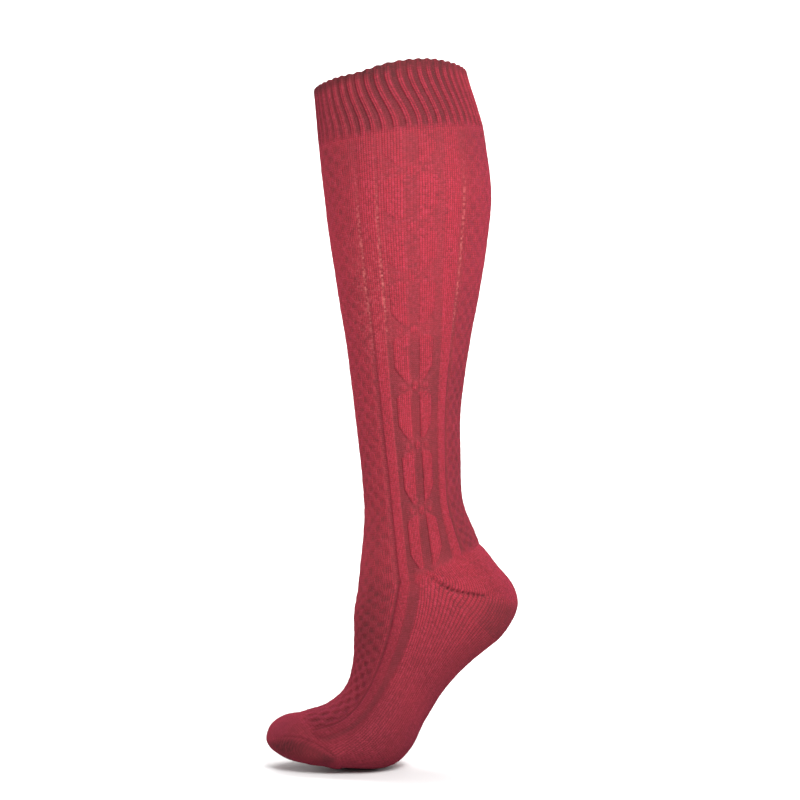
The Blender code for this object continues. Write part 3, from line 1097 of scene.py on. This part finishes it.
@dataclass
class Cuff(KnitPiece):
    """The ribbed band with its thick rim."""

    node: str = "cuff"
    wall: float = 0.0026
    columns: int = 1000
    rows: int = 46
    inner_rows: int = 12
    rim_rows: int = 8
    courses: float = 30.0
    # Painted shade darkens the whole cuff.
    finish: WoolFinish = WoolFinish(overall_shade=0.35)
    chart: RibChart = RibChart()
    lean: float = 7.2
    scallop: float = 0.0004
    sag: float = 0.0020
    sag_wale: float = 38.0
    sag_width: float = 9.0
    rim_height: float = 0.13
    rim_swell: float = 0.0005
    rim_shade: float = 2.0
    rim_calm: float = 0.55
    front_calm: float = 0.35
    front_wales: Pair = (12.0, 42.0)
    hem: float = 0.06
    top_shade: float = 1.7
    top_end: Pair = (0.1, 0.55)
    wave_end: float = 0.30

    def edge_wave(self, wale: float, row: WallRow) -> float:
        """Scallop the opening over the ribs and let its front sag a little.

        Args:
            wale: The wale.
            row: The grid's row.

        Returns:
            How far the place moves up.
        """
        near = fall(row.place, 0.0, self.wave_end)
        ribs = (wale - 0.5 * self.chart.knit) / self.chart.repeat
        sag = self.sag * bell(folded(wale) - self.sag_wale, self.sag_width)
        return near**3 * self.scallop * math.cos(math.tau * ribs) - near * sag

    def ribbed(self, wale: float, place: float) -> float:
        """Find which wale of the chart a place belongs to, as the ribs lean to the back."""
        shift = self.lean * (ramp(place, 0.1, 0.95) - place)
        return wale - shift * math.sin(math.tau * wale / WALES)

    def stitch(self, course: Course, wale: float, place: float) -> Stitch:
        """Read the rib chart, which fades into the rolled rim and into the hem.

        Args:
            course: The course there.
            wale: The wale.
            place: Place from the opening (0) to the leg (1).

        Returns:
            The stitch there.
        """
        rib = self.chart.stitch(self.ribbed(wale, place))
        rim = fall(place, 0.2 * self.rim_height, 1.4 * self.rim_height)
        hem = ramp(place, 1.0 - 1.8 * self.hem, 1.0)
        bold = mix(self.front_calm, 1.0, ramp(folded(wale), *self.front_wales))
        lift = bold * rib.lift * (1.0 - self.rim_calm * rim) * (1.0 - hem) + self.rim_swell * rim
        # Painted shade in the grooves, heavier near the top, and over the rolled rim.
        groove = mix(self.top_shade, 1.0, ramp(place, *self.top_end))
        groove *= bold * rib.painted_shade * (1.0 - 0.8 * hem)
        return Stitch(lift, rib.purl * (1.0 - hem), max(groove, self.rim_shade * rim))

    def stitch_map(self, course: Course, wale: float, place: float, past: bool) -> Pair:
        """Count the stitches along the leaning ribs."""
        return self.ribbed(wale, place), place * self.courses


class Shade(NamedTuple):
    """A soft shade: how dark, and the wales and places over which it grows, falling if reversed."""

    amount: float
    wales: Pair
    places: Pair


@dataclass
class CabledTube(KnitPiece):
    """A tube with honeycomb panels; pairs hold its upper and its lower form, or two borders."""

    columns: int = 400
    inner_rows: int = 8
    courses: float = 96.0
    panel: HoneycombChart = HoneycombChart()
    panel_relax: Pair = (1.0, 1.0)
    panel_shade: Pair = (1.0, 1.0)
    middle_relax: float = 0.4
    middle_wales: Pair = (4.0, 16.0)
    sway_end: Pair = (22.0, 26.0)
    border: Pair = (26.6, 28.2)
    shades: tuple[Shade, ...] = ()

    def from_centre(self, wale: float) -> float:
        """Count wales from the middle of the nearest honeycomb panel."""
        raise NotImplementedError

    def plain(self, wale: float) -> float:
        """Count wales where the honeycomb doesn't sway them."""
        return wale

    def honeycomb(self, wale: float, place: float, worked: float, lower: float) -> Stitch:
        """Read the honeycomb, which lies flatter in the middle of its panel.

        Args:
            wale: The wale.
            place: Place along the piece.
            worked: How much of the pattern is left at the piece's ends.
            lower: How far it has gone from its upper to its lower form.

        Returns:
            The stitch there.
        """
        across = self.from_centre(wale)
        panel = self.panel.stitch(across, place * self.courses)
        in_panel = worked * fall(across, *self.border)
        rise = mix(*self.panel_relax, lower)
        rise *= mix(self.middle_relax, 1.0, ramp(across, *self.middle_wales))
        shade = in_panel * mix(*self.panel_shade, lower)
        return Stitch(panel.lift * in_panel * rise, 0.0, panel.painted_shade * shade)

    def dusk(self, across: float, place: float) -> float:
        """Add up the shades at a place."""
        return sum(shade.amount * ramp(across, *shade.wales) * ramp(place, *shade.places)
                   for shade in self.shades)

    def stitch_map(self, course: Course, wale: float, place: float, past: bool) -> Pair:
        """Count the wales and the courses of stitches, which sway in the honeycomb.

        Args:
            course: The course there.
            wale: The wale.
            place: Place along the piece.
            past: Whether the place lies past a gore line.

        Returns:
            Wales and courses.
        """
        row, plain = place * self.courses, self.plain(wale)
        swayed = self.panel.swayed(plain, row)
        return mix(swayed, plain, ramp(self.from_centre(wale), *self.sway_end)), row


@dataclass
class Leg(CabledTube):
    """The tube from the cuff to the heel."""

    node: str = "leg"
    rows: int = 232
    courses: float = 224.0
    side: SideChart = SideChart()
    side_relax: Pair = (0.40, 1.0)
    panel_relax: Pair = (0.35, 0.50)
    panel_shade: Pair = (0.85, 1.05)
    lower_form: Pair = (0.2, 0.7)
    start: Pair = (0.0, 0.012)
    end: Pair = (0.978, 1.0)
    end_wales: Pair = (40.0, 42.0)
    pore_glow: float = 0.07
    pore_wales: Pair = (22.0, 40.0)
    pore_places: Pair = (0.24, 0.48)
    shades: tuple[Shade, ...] = (
        Shade(0.45, ALL, (0.13, 0.0)),
        Shade(0.2125, (64.0, 82.0), ALL),
        Shade(0.6375, (64.0, 82.0), (0.2, 0.7)),
        Shade(0.6, (30.0, 16.0), (0.55, 0.95)),
    )

    def from_centre(self, wale: float) -> float:
        """Count wales from the middle of the front panel or of the back one."""
        return min(folded(wale), BACK - folded(wale))

    def stitch(self, course: Course, wale: float, place: float) -> Stitch:
        """Read the charts.

        Args:
            course: The course there.
            wale: The wale.
            place: Place from the cuff (0) to the gore's corner (1).

        Returns:
            The stitch there.
        """
        across = folded(wale)
        end = ramp(place, *self.end) * ramp(across, *self.end_wales)
        worked = ramp(place, *self.start) * (1.0 - end)
        lower = ramp(place, *self.lower_form)
        in_side = worked * ramp(self.from_centre(wale), *self.border)
        side = self.side.stitch(across, place).scaled(in_side * mix(*self.side_relax, lower))
        pores = band(across, *self.pore_wales, 6.0) * band(place, *self.pore_places, 0.1)
        # Painted shade over broad areas the lights leave dim, and painted light glowing through
        # pores.
        painted_shade_and_light = Stitch(painted_shade=self.dusk(across, place), glow=self.pore_glow * pores)
        return self.honeycomb(wale, place, worked, lower).joined(side).joined(painted_shade_and_light)


@dataclass
class Foot(CabledTube):
    """The tube from the heel to the toe: patterned instep, plain sole."""

    node: str = "foot"
    rows: int = 140
    panel_shade: Pair = (1.15, 1.15)
    panel_relax: Pair = (0.5, 1.1)
    lower_form: Pair = (0.3, 0.8)
    end: Pair = (0.975, 1.0)
    shades: tuple[Shade, ...] = (
        Shade(0.25, (50.0, 60.0), (0.55, 0.05)),
        Shade(0.75, (64.0, 92.0), ALL),
        Shade(0.6, (30.0, 16.0), (0.6, 0.3)),
    )
    rib: Pair = (30.3, 36.8)
    rib_rise: float = 0.0013
    ditch_start: float = 28.0
    channel_sink: float = 0.0006
    channel_start: float = 40.6
    channel_spread: float = 3.6
    channel_taper: float = 3.6

    def from_centre(self, wale: float) -> float:
        """Count wales from the middle of the instep, on both sides of the foot."""
        return folded(wale)

    def plain(self, wale: float) -> float:
        """Count wales, which are looser on the sole."""
        return plain_wale(wale)

    def stitch(self, course: Course, wale: float, place: float) -> Stitch:
        """Read the charts.

        Args:
            course: The course there.
            wale: The wale.
            place: Place from the gore's corner (0) to the toe (1).

        Returns:
            The stitch there.
        """
        across = folded(wale)
        worked = fall(place, *self.end)
        end = self.channel_start + self.channel_spread * ramp(place, 0.0, 0.06)
        end -= self.channel_taper * place**1.5
        rib = band(across, *self.rib, 0.95)
        channel = band(across, self.rib[1] + 0.6, end, 1.1)
        ditch = band(across, self.ditch_start, self.rib[0] - 0.4)
        lift = self.rib_rise * rib - self.channel_sink * (channel + ditch)
        # Painted shade in the sunk channel and ditch.
        side = Stitch(lift, 0.8 * channel + 0.6 * ditch, 0.75 * channel + 0.8 * ditch)
        side = side.scaled(worked * ramp(across, *self.border))
        honeycomb = self.honeycomb(wale, place, worked, ramp(place, *self.lower_form))
        return honeycomb.joined(side).joined(Stitch(painted_shade=self.dusk(across, place)))


@dataclass
class Pocket(KnitPiece):
    """A plain short-row pocket whose half courses turn about a corner."""

    first_wale: float = float(SIDE)
    last_wale: float = float(WALES - SIDE)
    columns: int = 200
    dusk_start: Pair = (-0.02, 0.09)
    dusk_reach: Pair = (0.3, 0.95)
    course_height: float = 0.00145
    top_shade: float = 0.0
    back_shade: float = 0.0
    gore: GoreLine = GoreLine(((0.0, 0.5), (1.0, 0.5)))

    def turn(self) -> float:
        """Give the pocket's whole turn in degrees, which the form has under the node's name."""
        return getattr(self.form, f"{self.node}_turn")

    def reach_share(self, wale: float) -> float:
        """Find how far a wale runs from the corner (0) to the pocket's middle (1)."""
        return math.sin(math.pi * (wale - self.first_wale) / (self.last_wale - self.first_wale))

    def arc(self, course: Course, wale: float, turn_share: float) -> float:
        """Measure metres along the fabric for a share of the pocket's turn."""
        return course.back_reach * self.reach_share(wale) * math.radians(self.turn()) * turn_share

    def stitch(self, course: Course, wale: float, place: float) -> Stitch:
        """Sink the gore line and shade the pocket's middle before and past it.

        Args:
            course: The course there.
            wale: The wale.
            place: Share of the pocket's turn.

        Returns:
            The stitch there.
        """
        share = self.reach_share(wale)
        past = place - self.gore.share(share)
        stitch = self.gore.stitch(share, place, self.arc(course, wale, past))
        dusk = mix(self.top_shade, self.back_shade, ramp(past, *self.dusk_start))
        return stitch.joined(Stitch(painted_shade=dusk * ramp(share, *self.dusk_reach)))

    def past_gore(self, wale: float, place: float) -> bool:
        """Tell whether a place lies past the gore line."""
        return place > self.gore.share(self.reach_share(wale))

    def stitch_map(self, course: Course, wale: float, place: float, past: bool) -> Pair:
        """Count short rows from the pocket's two edges towards the gore line."""
        arc = self.arc(course, wale, place - 1.0 if past else place)
        return (plain_wale(wale) if past else wale), arc / self.course_height


@dataclass
class Heel(Pocket):
    """The heel's pocket."""

    node: str = "heel"
    rows: int = 90
    top_shade: float = 0.35
    back_shade: float = 1.1
    gore: GoreLine = GoreLine(
        ((0.0, 0.98), (0.10, 0.93), (0.36, 0.746), (0.65, 0.640), (1.0, 0.628)),
        eyelets=19,
        half_width=0.0012,
        shade_width=0.008,
        shade=0.25,
        fade=(0.46, 0.68),
    )


@dataclass
class Toe(Pocket):
    """The toe's pocket."""

    node: str = "toe"
    rows: int = 120
    top_shade: float = 0.45
    gore: GoreLine = GoreLine(
        ((0.0, 0.30), (0.10, 0.060), (0.18, 0.035), (0.35, 0.055), (0.61, 0.100),
         (0.81, 0.164), (1.0, 0.2146)),
        shade=1.5,
        shade_fade=(0.30, 0.90),
        fade=(0.55, 0.95),
        depth=0.00045,
    )


class Lamp(NamedTuple):
    """A square soft light: where it hangs and points, its side and its power in watts."""

    name: str
    place: Point
    target: Point
    size: float
    power: float


@dataclass
class Studio:
    """Pale floor and backdrop, soft lights and the camera."""

    floor_z: float
    half_width: float = 3.0
    depth: float = 3.0
    sweep: float = 0.8
    sweep_steps: int = 16
    wall_height: float = 2.5
    pale: Colour = (0.80, 0.80, 0.80, 1.0)
    paper_roughness: float = 0.9
    room_light: float = 0.34
    camera_distance: float = 1.5
    camera_x: float = 0.0074
    camera_z: float = -0.2346
    frame_width: float = 0.592
    sensor: float = 36.0

    def backdrop(self) -> None:
        """Lay the floor and bend it up behind the sock."""
        bm = bmesh.new()
        sides = (-self.half_width, self.half_width)
        edge = bm.edges.new([bm.verts.new((x, -self.depth, self.floor_z)) for x in sides])
        line, ends = self.sorted_out(bmesh.ops.extrude_edge_only(bm, edges=[edge])["geom"])
        bmesh.ops.translate(bm, verts=ends, vec=(0.0, self.depth * 1.6, 0.0))
        centre = Vector((0.0, self.depth * 0.6, self.floor_z + self.sweep))
        spun = bmesh.ops.spin(bm, geom=line + ends, cent=centre, axis=(1.0, 0.0, 0.0),
                              angle=math.radians(90.0), steps=self.sweep_steps)["geom_last"]
        top = bmesh.ops.extrude_edge_only(bm, edges=self.sorted_out(spun)[0])["geom"]
        up = self.sorted_out(top)[1]
        bmesh.ops.translate(bm, verts=up, vec=(0.0, 0.0, self.wall_height))
        mesh = bpy.data.meshes.new("studio_backdrop")
        bm.to_mesh(mesh)
        bm.free()
        mesh.shade_smooth()
        dye = DyeBath("studio_paper")
        shader = dye.node("ShaderNodeBsdfPrincipled", {}, {
            "Base Color": self.pale, "Roughness": self.paper_roughness})
        mesh.materials.append(dye.surface(shader))
        paper = bpy.data.objects.new("studio_backdrop", mesh)
        bpy.context.scene.collection.objects.link(paper)
        paper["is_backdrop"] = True

    def sorted_out(self, items: list) -> tuple[list, list]:
        """Part what an operator gives back into its edges and its points."""
        kinds = (bmesh.types.BMEdge, bmesh.types.BMVert)
        return tuple([item for item in items if isinstance(item, kind)] for kind in kinds)

    def hang(self, lamp: Lamp) -> None:
        """Hang a light.

        Args:
            lamp: The light.
        """
        light = bpy.data.lights.new(lamp.name, "AREA")
        light.shape = "SQUARE"
        light.size = lamp.size
        light.energy = lamp.power
        holder = bpy.data.objects.new(lamp.name, light)
        holder.location = lamp.place
        way = Vector(lamp.target) - Vector(lamp.place)
        holder.rotation_euler = way.to_track_quat("-Z", "Y").to_euler()
        bpy.context.scene.collection.objects.link(holder)

    def lights(self) -> None:
        """Hang the lights and set the room's light."""
        sock = (self.camera_x, 0.0, self.camera_z)
        for lamp in (
            Lamp("key_light", (0.36, -1.15, 0.62), sock, 0.7, 30.0),
            Lamp("fill_light", (-1.9, -1.6, 0.5), sock, 1.8, 1.5),
            Lamp("left_rim_light", (-1.5, 1.1, -0.3), sock, 0.8, 40.0),
            Lamp("right_rim_light", (1.5, 1.1, -0.3), sock, 0.8, 24.0),
            Lamp("wall_light", (0.0, 0.9, 1.5), (0.0, 2.6, -0.2), 1.6, 78.0),
        ):
            self.hang(lamp)
        world = bpy.data.worlds.new("studio_room")
        world.use_nodes = True
        air = world.node_tree.nodes["Background"]
        air.inputs["Color"].default_value = (1.0, 1.0, 1.0, 1.0)
        air.inputs["Strength"].default_value = self.room_light
        bpy.context.scene.world = world
        bpy.context.scene.view_settings.view_transform = "Standard"

    def camera(self) -> None:
        """Set the camera level, square to the sock's side."""
        lens = bpy.data.cameras.new("studio_camera")
        lens.sensor_width = self.sensor
        lens.lens = self.sensor * self.camera_distance / self.frame_width
        lens.clip_start = 0.05
        holder = bpy.data.objects.new("studio_camera", lens)
        holder.location = (self.camera_x, -self.camera_distance, self.camera_z)
        holder.rotation_euler = (math.radians(90.0), 0.0, 0.0)
        bpy.context.scene.collection.objects.link(holder)
        bpy.context.scene.camera = holder


def plain_numbers(box: object) -> list[list[float]]:
    """Turn a box into plain lists of numbers."""
    return [[float(number) for number in corner] for corner in box]


def main() -> None:
    """Load the frame, measure its box, and build the sock and the studio at its floor."""
    logging.basicConfig(level=logging.INFO, format="%(name)s: %(message)s")
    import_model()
    frame_box = plain_numbers(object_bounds())
    form = SockForm()
    for piece in (Cuff(form), Leg(form), Heel(form), Foot(form), Toe(form)):
        piece.build()
    studio = Studio(floor_z=frame_box[0][2])
    studio.backdrop()
    studio.lights()
    studio.camera()


if __name__ == "__main__":
    main()
